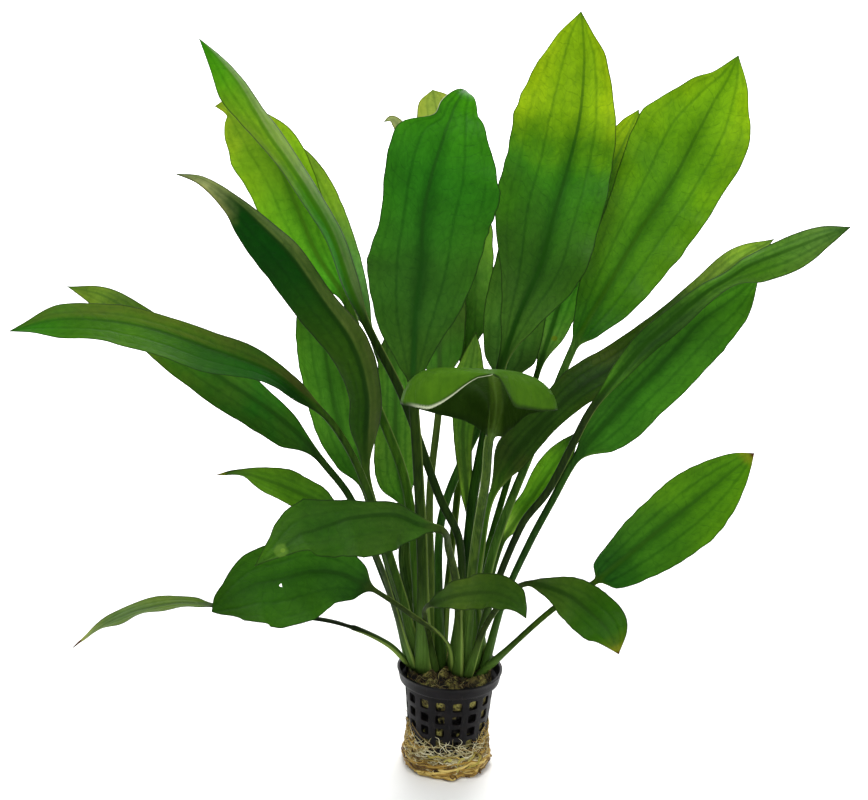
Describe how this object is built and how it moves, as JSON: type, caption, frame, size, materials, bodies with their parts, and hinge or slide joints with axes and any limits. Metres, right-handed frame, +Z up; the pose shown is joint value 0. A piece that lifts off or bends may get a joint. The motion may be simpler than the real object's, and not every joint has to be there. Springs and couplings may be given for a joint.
{
  "type": "potted aquarium plant",
  "caption": "Amazon sword plant with broad stalked leaves fanning up from two crowns in a small black net pot wrapped in pale roots.",
  "frame": {"origin": "middle of the flat underside that the pot and its roots rest on", "axes": "+Z up the plant, +X to the right and +Y away from a viewer in front"},
  "size_m": [0.368, 0.231, 0.385],
  "materials": {
    "pot_plastic": "satin, slightly shiny black-brown moulded plastic",
    "mineral_wool": "matte, damp olive-brown fibre",
    "root_tissue": "matte pale gold roots",
    "crown_tissue": "satin pale green and brown rootstock",
    "leaf_bright": "satin, light passes through it",
    "leaf_green": "satin, light passes through it",
    "leaf_dark": "satin dark green"
  },
  "bodies": {
    "root": {"net_pot": "pot_plastic", "mineral_wool": "mineral_wool", "root_mat": "root_tissue", "crown_left": "crown_tissue", "crown_right": "crown_tissue", "leaf_tall_centre": "leaf_bright", "leaf_tall_right": "leaf_bright", "leaf_dark_centre": "leaf_dark", "leaf_behind_centre": "leaf_bright", "leaf_curled_tip": "leaf_bright", "leaf_grey_folded": "leaf_green", "leaf_behind_folded": "leaf_bright", "leaf_upper_left": "leaf_bright", "leaf_dark_left": "leaf_dark", "leaf_long_left": "leaf_green", "leaf_second_left": "leaf_green", "leaf_upright_left": "leaf_green", "leaf_small_left": "leaf_green", "leaf_broad_left": "leaf_dark", "leaf_low_left": "leaf_dark", "leaf_edge_left": "leaf_green", "leaf_arching_front": "leaf_green", "leaf_far_right": "leaf_green", "leaf_long_right": "leaf_dark", "leaf_wide_right": "leaf_green", "leaf_low_right": "leaf_green", "leaf_small_right": "leaf_green", "leaf_low_centre": "leaf_dark", "leaf_behind_tall": "leaf_bright", "leaf_young_centre": "leaf_bright", "leaf_upright_behind": "leaf_bright", "leaf_small_behind": "leaf_bright", "leaf_dark_behind": "leaf_dark"}
  },
  "joints": []
}
